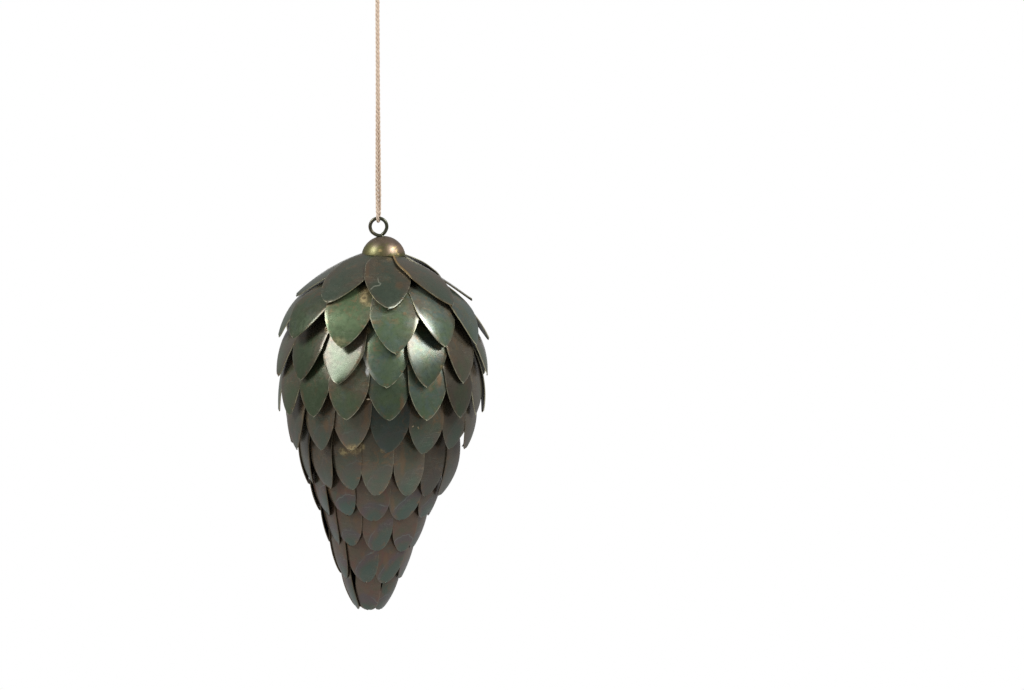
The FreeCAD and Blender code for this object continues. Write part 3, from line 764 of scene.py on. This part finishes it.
EYE_LEAN = math.radians(14.0)
EYE_RADIUS = 5.5
EYE_WIRE = 2.3 * MM
EYE_SIDES = 18
EYE_SIDESTEP = 0.3
EYE_FIRST_ANGLE = 215
EYE_ARC = 250
EYE_STEPS = 20
EYE_LEG = (
    (4.6, -1.0, -10.9),
    (1.0, -1.1, -10.9),
    (1.05, -1.15, -8.0),
    (0.9, -1.15, -6.6),
    (-1.0, -1.0, -5.9),
    (-2.9, -0.6, -4.85),
)


def make_eye():
    route = list(EYE_LEG)
    for step in range(EYE_STEPS + 1):
        share = step / EYE_STEPS
        angle = math.radians(EYE_FIRST_ANGLE - EYE_ARC * share)
        aside = EYE_SIDESTEP * (2 * share - 1)
        route.append((EYE_RADIUS * math.cos(angle), aside, EYE_RADIUS * math.sin(angle)))
    route += [(-x, -y, z) for x, y, z in reversed(EYE_LEG)]
    lean = Matrix.Translation(EYE_CENTRE) @ Matrix.Rotation(-EYE_LEAN, 4, "Y")
    line = [lean @ point for point in even_points(spline_points("eye_route", route, 8), LINE_STEP)]
    vertices, faces = [], []
    tube(line, [EYE_WIRE / 2] * len(line), EYE_SIDES, vertices, faces)
    eye = new_piece("crossed_eye", vertices, faces, [wire_finish])
    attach(eye, "root")
    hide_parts("hanging_ring")


make_eye()


# Cone: its own frame has the axis on Z and z = 0 on the flat top of the core

CROWN = 10.71 * MM
EYE_TO_CROWN = 6.3 * MM
CONE_LEAN = math.radians(2.4)
HOLE_OFFSET = 2.3 * MM
SHEET = 0.6 * MM
CONE_PLACE = (
    Matrix.Translation(EYE_CENTRE + Vector((math.sin(EYE_LEAN), 0, -math.cos(EYE_LEAN))) * EYE_TO_CROWN)
    @ Matrix.Rotation(CONE_LEAN, 4, "Y")
    @ Matrix.Translation(Vector((HOLE_OFFSET, 0, -CROWN)))
)

# Section of the core that carries the scales, as radius and level in millimetres
CORE_LINE = ((8.0, 0.0), (45.0, -25.0), (60.0, -66.0), (42.0, -131.0), (27.0, -176.0), (5.0, -230.5))
ROOT_SEAT = 0.3
CREASES = (0.0, 0.25, 0.5, 0.72, 0.89, 1.0)

# One row for each ring of scales, in millimetres and degrees: count, angle of the first scale, how far its
# tips hang below the tips of the ring above, how far its roots reach up past these, how far its tips stand
# off the ring below, rise of its arch, greatest half width, how far its sides bend back there, how full and
# how round its point is, how far its right edge lies in and its left edge out, how far its left edge swells
# over its neighbour, and how far the whole ring sits to the right of the axis
Ring = namedtuple("Ring", "count start fall cover lift bow half bend full round lay swell aside")
RINGS = (
    Ring(8, 7, 29.6, -0.3, 5.7, 3.2, 15.3, 1.0, 1.8, 0.66, 0.62, 3.2, 0.4),
    Ring(12, 9, 27.9, 10.8, 4.3, 6.2, 15.8, 1.0, 1.6, 0.68, 0.42, 0.0, 1.6),
    Ring(14, 4, 23.2, 20.3, 2.5, 4.4, 14.9, 0.9, 1.6, 0.68, 0.42, 0.0, 2.0),
    Ring(16, 6, 23.3, 22.5, 5.0, 3.8, 13.6, 0.8, 1.7, 0.68, 0.42, 0.0, 2.2),
    Ring(16, 8, 23.5, 22.8, 5.4, 4.6, 12.7, 0.8, 1.7, 0.68, -0.42, 0.0, 2.0),
    Ring(16, 2, 28.2, 22.3, 1.2, 5.2, 10.6, 0.7, 2.0, 0.62, -0.45, 0.0, 1.0),
    Ring(12, 0, 17.6, 23.5, 0.8, 4.0, 11.6, 1.1, 2.0, 0.54, -0.45, 0.0, 0.2),
    Ring(11, 7, 20.9, 21.1, 0.7, 2.7, 10.1, 1.0, 2.0, 0.54, -0.45, 0.0, -0.2),
    Ring(8, -12, 21.3, 21.0, 0.8, 2.5, 10.6, 1.4, 2.0, 0.54, -0.45, 0.0, -0.4),
    Ring(6, -1, 22.0, 21.3, 2.6, 3.9, 8.4, 1.5, 2.0, 0.50, -0.45, 0.0, -1.0),
)

# Scales set after the photograph: by ring and place in the ring, how far the tip sits to the right,
# down and out in millimetres, how far the scale is turned, how far its right half stands off, how much
# more it is bowed along and bent across in millimetres, its cast of brown and of blue, how much it is
# lightened or darkened, partly its own tone and partly painted light and shade, how much braze lies along
# its left edge, and how strong a painted highlight lies along that edge
Hand = namedtuple(
    "Hand", "right down out turn flare bow bend warm blue shade bead rub",
    defaults=(0, 0, 0, 0, 0, 0, 0, 0, 0, 1, 0, 0),
)
HANDS = {
    (1, 0): Hand(-1.3, 2.0, 0.6, blue=-0.05, shade=0.80),
    (1, 1): Hand(0, 0.5, warm=0.1, shade=0.92, bead=1),
    (1, 2): Hand(out=0.5, bow=-1.8, shade=0.6),
    (1, 6): Hand(0, 1, -2.2),
    (1, 7): Hand(2.5, 1.0, shade=0.84),
    (2, 0): Hand(0, 2.0, turn=0.08, bend=0.2, blue=0.3, shade=1.7),
    (2, 1): Hand(-0.8, -2.4, -1.4, turn=-0.17, bend=1.2, warm=0.2, blue=0.4, shade=1.7, rub=0.4),
    (2, 2): Hand(-2.5, -1.5, -1.5, blue=0.45, shade=1.2),
    (2, 3): Hand(0, -1.5, 1.7, bow=-3.0),
    (2, 9): Hand(blue=0.2),
    (2, 10): Hand(-3.0, -2.4, 1.5, blue=0.2, shade=0.8),
    (2, 11): Hand(out=-0.5, turn=-0.16, bend=-0.5, warm=-0.2, shade=1.5),
    (3, 0): Hand(0.4, 0.4, 1.5, turn=0.13, bow=-1.0, bend=3.0, warm=-0.2, blue=0.35, shade=1.4, rub=0.35),
    (3, 1): Hand(-4.5, 0, 0.9, turn=-0.05, bow=-1.0, bend=-0.5, blue=0.4),
    (3, 2): Hand(-4.0, -1.2, -1.0, warm=0.4),
    (3, 3): Hand(0, -3.5, 0.8, warm=0.3),
    (3, 11): Hand(0, 1.7, 0.8, warm=0.3),
    (3, 12): Hand(0.8, 0.5, turn=0.10, warm=0.05, shade=0.75),
    (3, 13): Hand(0.5, 0, 2.2, turn=0.13, bow=-3.0, bend=-0.5, warm=0.15, shade=0.8),
    (4, 0): Hand(0.5, -1.5, 1.0, turn=0.05, bend=2.5, warm=-0.1, blue=0.3),
    (4, 1): Hand(-0.7, -1.5, warm=-0.1, blue=0.45, shade=1.45),
    (4, 2): Hand(0.6, -1.8, warm=0.3, shade=0.65),
    (4, 3): Hand(0, -1.3, -2.2, warm=0.4),
    (4, 12): Hand(0, 3.0),
    (4, 13): Hand(2.0, 2.0, warm=0.2),
    (4, 14): Hand(0.7, 0, turn=0.08, warm=-0.1, shade=0.85),
    (4, 15): Hand(-0.9, -0.4, warm=0.1, blue=0.2, shade=1.3),
    (5, 0): Hand(-0.8, -2.7, warm=-0.4, blue=0.35, shade=0.6),
    (5, 1): Hand(0.9, -1.9, shade=1.12),
    (5, 2): Hand(1.4, -3.7, warm=0.2, shade=0.8),
    (5, 3): Hand(-3.0, -1.9, 1.5, warm=0.3),
    (5, 4): Hand(out=-2.5, warm=0.2, shade=0.5),
    (5, 13): Hand(-2.0, 1.8, 1.5, flare=0.10, warm=0.2),
    (5, 14): Hand(-0.3, -0.9, flare=0.08, warm=0.1, shade=1.1),
    (5, 15): Hand(-1.5, -3.0, flare=0.04, warm=0.2, shade=1.35),
    (6, 0): Hand(0, -0.7, warm=0.05, shade=1.5),
    (6, 1): Hand(3.4, -0.6, warm=0.15, shade=1.35),
    (6, 2): Hand(1.4, 0.4, warm=0.5, shade=0.65),
    (6, 3): Hand(1.4, 2.0, 0.2, bow=1.8, warm=0.3, shade=0.75),
    (6, 4): Hand(out=0.5, bow=0.6, warm=0.2, shade=0.8),
    (6, 13): Hand(-2.0, -2.7, flare=0.14),
    (6, 14): Hand(1.5, -2.0, flare=0.14, warm=0.3),
    (6, 15): Hand(1.4, -3.3, flare=0.04, warm=0.1, shade=1.15),
    (7, 0): Hand(0.5, -0.3),
    (7, 1): Hand(0.4, -0.9, blue=0.2),
    (7, 2): Hand(1.0, -1.3, 0.8, shade=0.8),
    (7, 10): Hand(2.0, 0, -1.5, flare=0.14),
    (7, 11): Hand(2.0, -2.7, flare=0.08, warm=-0.15),
    (8, 0): Hand(0.4, 0, warm=0.1, shade=1.1),
    (8, 1): Hand(3.0, 0.8, warm=0.1),
    (8, 9): Hand(2.0, -0.9, -1.5, flare=0.14),
    (8, 10): Hand(-0.9, -2.3, flare=0.06),
    (9, 0): Hand(1.5, 1.2, warm=0.1),
    (9, 1): Hand(-1.5, 1.7),
    (9, 5): Hand(-1.2, 3.2, warm=0.1, shade=0.9),
    (9, 7): Hand(0, 0.6, flare=0.14),
    (10, 0): Hand(0, -0.4, warm=0.1),
    (10, 1): Hand(0.8, warm=-0.4, shade=0.8),
    (10, 5): Hand(flare=0.16),
}
ROWS, COLUMNS = 26, 12
ROW_CROWDING = 1.5
SHOULDER = 0.5
LAP = 0.8 * MM
SWELL_DROP = 0.06
SOFT_CORNER = 2.0 * MM
LEAST_HALF = 0.02 * MM
# The last ring's scales stay wide and end nearly square
END_NARROWING = 0.4
END_SQUARENESS = 14


def radius_at(line, level):
    """Radius of a section line at a level, or of its lower end below that."""
    for (upper_radius, upper), (lower_radius, lower) in zip(line, line[1:]):
        if lower <= level <= upper:
            return upper_radius + (lower_radius - upper_radius) * (upper - level) / (upper - lower)
    return line[-1][0]


def outer_line(ring, root, tip):
    """Outer face of a scale of the CAD ring in the plane through the axis: straight between its creases."""
    chord = Vector(tip) - Vector(root)
    outward = Vector((-chord.y, chord.x)).normalized()
    line = []
    for share in CREASES:
        rise = 4 * ring.bow * share * (1 - share) + SHEET / MM
        line.append(tuple(Vector(root) + chord * share + outward * rise))
    return line


def ends_of_rings():
    """Root and tip of the scales of each ring, as radius and level in millimetres. They are worked out from
    the lowest ring up, because each tip stands off the ring below."""
    ends = []
    below = CORE_LINE
    tip_level = -sum(ring.fall for ring in RINGS)
    for ring in reversed(RINGS):
        root_level = tip_level + ring.fall + ring.cover
        root = (radius_at(CORE_LINE, root_level) + ROOT_SEAT, root_level)
        tip = (radius_at(below, tip_level) + ring.lift, tip_level)
        ends.insert(0, (root, tip))
        below = outer_line(ring, root, tip)
        tip_level += ring.fall
    return ends


def half_width(along, radius, ring):
    """Half width of a scale: it laps its neighbours down to the shoulders, then runs to a rounded point."""
    pitch = radius * math.tan(math.pi / ring.count) + LAP
    past = max(0.0, (along - SHOULDER) / (1 - SHOULDER))
    if ring is RINGS[-1]:
        body = (1 - END_NARROWING * past**2) * max(0.0, 1 - past**END_SQUARENESS) ** ring.round
    else:
        body = max(0.0, 1 - past**ring.full) ** ring.round
    body *= ring.half * MM
    # A soft corner where the shoulder meets the point
    blend = max(0.0, min(1.0, 0.5 + 0.5 * (body - pitch) / SOFT_CORNER))
    return max(body + (pitch - body) * blend - SOFT_CORNER / 2 * blend * (1 - blend), LEAST_HALF)


def scale_grid(ring, ends, hand, slack):
    """Points of the inner face of one scale at the front of the cone, row by row from its root, with their
    shares along and across it and their distance from its edge. Where lay is above nothing its left edge
    lies over its neighbour, elsewhere its right edge."""
    (root_radius, root_level), (tip_radius, tip_level) = ends
    root = Vector((root_radius, 0, root_level)) * MM
    tip = Vector((tip_radius + hand.out, 0, tip_level - hand.down)) * MM
    chord = tip - root
    outward = Vector((-chord.z, 0, chord.x)).normalized()
    rows = []
    for row in range(ROWS + 1):
        along = 1 - (1 - row / ROWS) ** ROW_CROWDING
        rise = 4 * (ring.bow + hand.bow) * MM * along * (1 - along) + slack["lift"] * along**2
        middle = root + chord * along + outward * rise
        rows.append((along, middle, half_width(along, middle.x, ring) * slack["width"]))
    points = []
    for row, (along, middle, half) in enumerate(rows):
        bend = (ring.bend + hand.bend) / ring.half * half
        swell = ring.swell * MM * math.sin(math.pi * min(along / SHOULDER, 1)) ** 2
        before, after = rows[max(row - 1, 0)], rows[min(row + 1, ROWS)]
        slope = (after[2] - before[2]) / (after[1] - before[1]).length
        sway = (hand.right * MM + slack["right"]) * along**2
        for column in range(COLUMNS + 1):
            across = 2 * column / COLUMNS - 1
            reach = half + swell if across < 0 else half
            x = across * reach
            tilt = ((hand.turn + slack["turn"]) * x + hand.flare * max(0, x)) * along
            drop = SWELL_DROP * max(0, -x - half)
            place = middle - outward * (bend * across**2 + ring.lay * MM * across + drop - tilt)
            rim = reach * (1 - abs(across)) / math.sqrt(1 + slope**2) / MM
            points.append((Vector((x + sway, -place.x, place.z)), along, across, rim))
    return points


def grid_faces(start):
    """Faces of one scale, whose points begin at start."""
    wide = COLUMNS + 1
    faces = []
    for row in range(ROWS):
        for column in range(COLUMNS):
            corner = start + row * wide + column
            faces.append((corner, corner + 1, corner + wide + 1, corner + wide))
    return faces


VALUES = ("along", "across", "rim", "tone", "warm", "blue", "shade", "bead", "rub")


def make_ring_of_scales(number, ring, ends, finish, edge):
    vertices, faces, values = [], [], []
    for index in range(ring.count):
        slack = {
            "lift": dice.uniform(-0.3, 0.4) * MM,
            "width": 1 + dice.uniform(-0.02, 0.01),
            "turn": dice.uniform(-0.02, 0.02),
            "right": dice.uniform(-0.2, 0.2) * MM,
        }
        tone = dice.random()
        # A random shade is only tone; the shades listed in HANDS are partly tone and partly painted light
        # and shade
        warm, blue, shade = dice.uniform(-0.2, 0.2), dice.uniform(-0.1, 0.2), dice.uniform(0.8, 1.0)
        hand = HANDS.get((number, index), Hand(warm=warm, blue=blue, shade=shade))
        angle = math.radians(ring.start + index * 360 / ring.count)
        place = Matrix.Translation((ring.aside * MM, 0, 0)) @ CONE_PLACE @ Matrix.Rotation(angle, 4, "Z")
        faces += grid_faces(len(vertices))
        for point, along, across, rim in scale_grid(ring, ends, hand, slack):
            vertices.append(place @ point)
            cast = (hand.warm, hand.blue, hand.shade, hand.bead, hand.rub)
            values.append((along, across, rim, tone) + cast)
    piece = new_piece(f"ring_{number:02d}_scales", vertices, faces, [painted_shade_back_finish, finish, edge])
    for name, numbers in zip(VALUES, zip(*values)):
        point_values(piece, name, numbers)
    sheet = piece.modifiers.new("sheet", "SOLIDIFY")
    sheet.thickness = SHEET
    sheet.offset = -1
    # The inner face keeps the nearly black back finish, which is painted shade
    sheet.material_offset = 1
    sheet.material_offset_rim = 2
    rounded = piece.modifiers.new("rounded_edge", "BEVEL")
    rounded.width = 0.13 * MM
    rounded.segments = 2
    rounded.limit_method = "ANGLE"
    rounded.angle_limit = math.radians(50)
    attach(piece, "root")
    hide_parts(f"tier_{number:02d}_scales")


FINISHES = (scales_top,) + (scales_green,) * 3 + (scales_mixed,) * 2 + (scales_brown,) * 4
EDGES = (bright_edge,) * 4 + (dark_edge,) * 6
for number, (ring, ends, finish, edge) in enumerate(zip(RINGS, ends_of_rings(), FINISHES, EDGES), 1):
    make_ring_of_scales(number, ring, ends, finish, edge)


# Drops of braze that stand out at the seams: middle, width, depth and height in millimetres

Drop = namedtuple("Drop", "x y z wide deep high")
DROPS = (
    Drop(-4.2, -60.8, -263.6, 3.2, 1.2, 1.7),
    Drop(24.2, -57.9, -281.6, 0.9, 0.7, 0.9),
    Drop(27.3, -56.4, -282.4, 0.8, 0.7, 0.8),
    Drop(42.8, -52.4, -243.6, 1.4, 1.0, 1.8),
    Drop(-8.6, -50.2, -203.0, 1.5, 0.9, 1.3),
    Drop(-32.2, -47.2, -219.6, 1.2, 0.9, 1.6),
)


def make_drops():
    mesh = bmesh.new()
    for drop in DROPS:
        middle = Vector((drop.x, drop.y, drop.z)) * MM
        spread = Matrix.Diagonal((drop.wide * MM, drop.deep * MM, drop.high * MM, 1))
        bmesh.ops.create_icosphere(
            mesh, subdivisions=2, radius=0.5, matrix=Matrix.Translation(middle) @ spread
        )
    data = bpy.data.meshes.new("braze_drops")
    mesh.to_mesh(data)
    mesh.free()
    data.shade_smooth()
    data.materials.append(drop_finish)
    drops = link(bpy.data.objects.new("braze_drops", data))
    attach(drops, "root")


make_drops()


# Carried-over CAD pieces

for node, finish in (("core_dome", core_finish), ("core_cone", core_finish), ("cap", cap_finish)):
    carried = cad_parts[node]
    carried.data.materials.clear()
    carried.data.materials.append(finish)


# Light: a dim white room with a lighter floor, and two softboxes. The view, and what metal mirrors of the
# room's far side, is plain white.

ROOM_LIGHT = 0.25
FLOOR_LIGHT = 0.35
FAR_SIDE = 0.985
SOFTBOX_TARGET = EYE_CENTRE + Vector((0, 0, -0.12))
SOFTBOX_ELEVATION = 42
SOFTBOX_DISTANCE = 1.4
SOFTBOX_WIDTH, SOFTBOX_HEIGHT = 0.55, 0.65
SOFTBOX_RADIANCE = 11.5


def make_world():
    world = bpy.data.worlds.new("white_room")
    scene.world = world
    world.use_nodes = True
    nodes = Nodes(world.node_tree)
    shade = next(node for node in nodes.tree.nodes if node.type == "BACKGROUND")
    generated = nodes.add("ShaderNodeTexCoord").outputs["Generated"]
    direction = nodes.add("ShaderNodeSeparateXYZ", Vector=generated).outputs
    floor = nodes.ramp(direction["Z"], -0.1, -0.9, 0.0, FLOOR_LIGHT)
    room = nodes.plus(floor, ROOM_LIGHT)
    path = nodes.add("ShaderNodeLightPath").outputs
    straight = nodes.most(path["Is Camera Ray"], path["Is Transmission Ray"])
    backdrop = nodes.times(nodes.math("GREATER_THAN", direction["Y"], FAR_SIDE), path["Is Glossy Ray"])
    seen = nodes.most(straight, backdrop)
    unseen = nodes.times(nodes.math("SUBTRACT", 1.0, seen), room)
    nodes.feed(shade.inputs["Strength"], nodes.plus(seen, unseen))
    nodes.feed(shade.inputs["Color"], grey(1.0))


def softbox(name, azimuth):
    data = bpy.data.lights.new(name, "AREA")
    data.shape = "RECTANGLE"
    data.size = SOFTBOX_WIDTH
    data.size_y = SOFTBOX_HEIGHT
    data.energy = SOFTBOX_RADIANCE * math.pi * SOFTBOX_WIDTH * SOFTBOX_HEIGHT
    lamp = link(bpy.data.objects.new(name, data))
    round_by, up_by = math.radians(azimuth), math.radians(SOFTBOX_ELEVATION)
    level = math.cos(up_by)
    away = Vector((math.sin(round_by) * level, -math.cos(round_by) * level, math.sin(up_by)))
    lamp.location = SOFTBOX_TARGET + away * SOFTBOX_DISTANCE
    lamp.rotation_mode = "QUATERNION"
    lamp.rotation_quaternion = away.to_track_quat("Z", "Y")


make_world()
softbox("left_softbox", -67)
softbox("right_softbox", 66)

scene.view_settings.view_transform = "Standard"
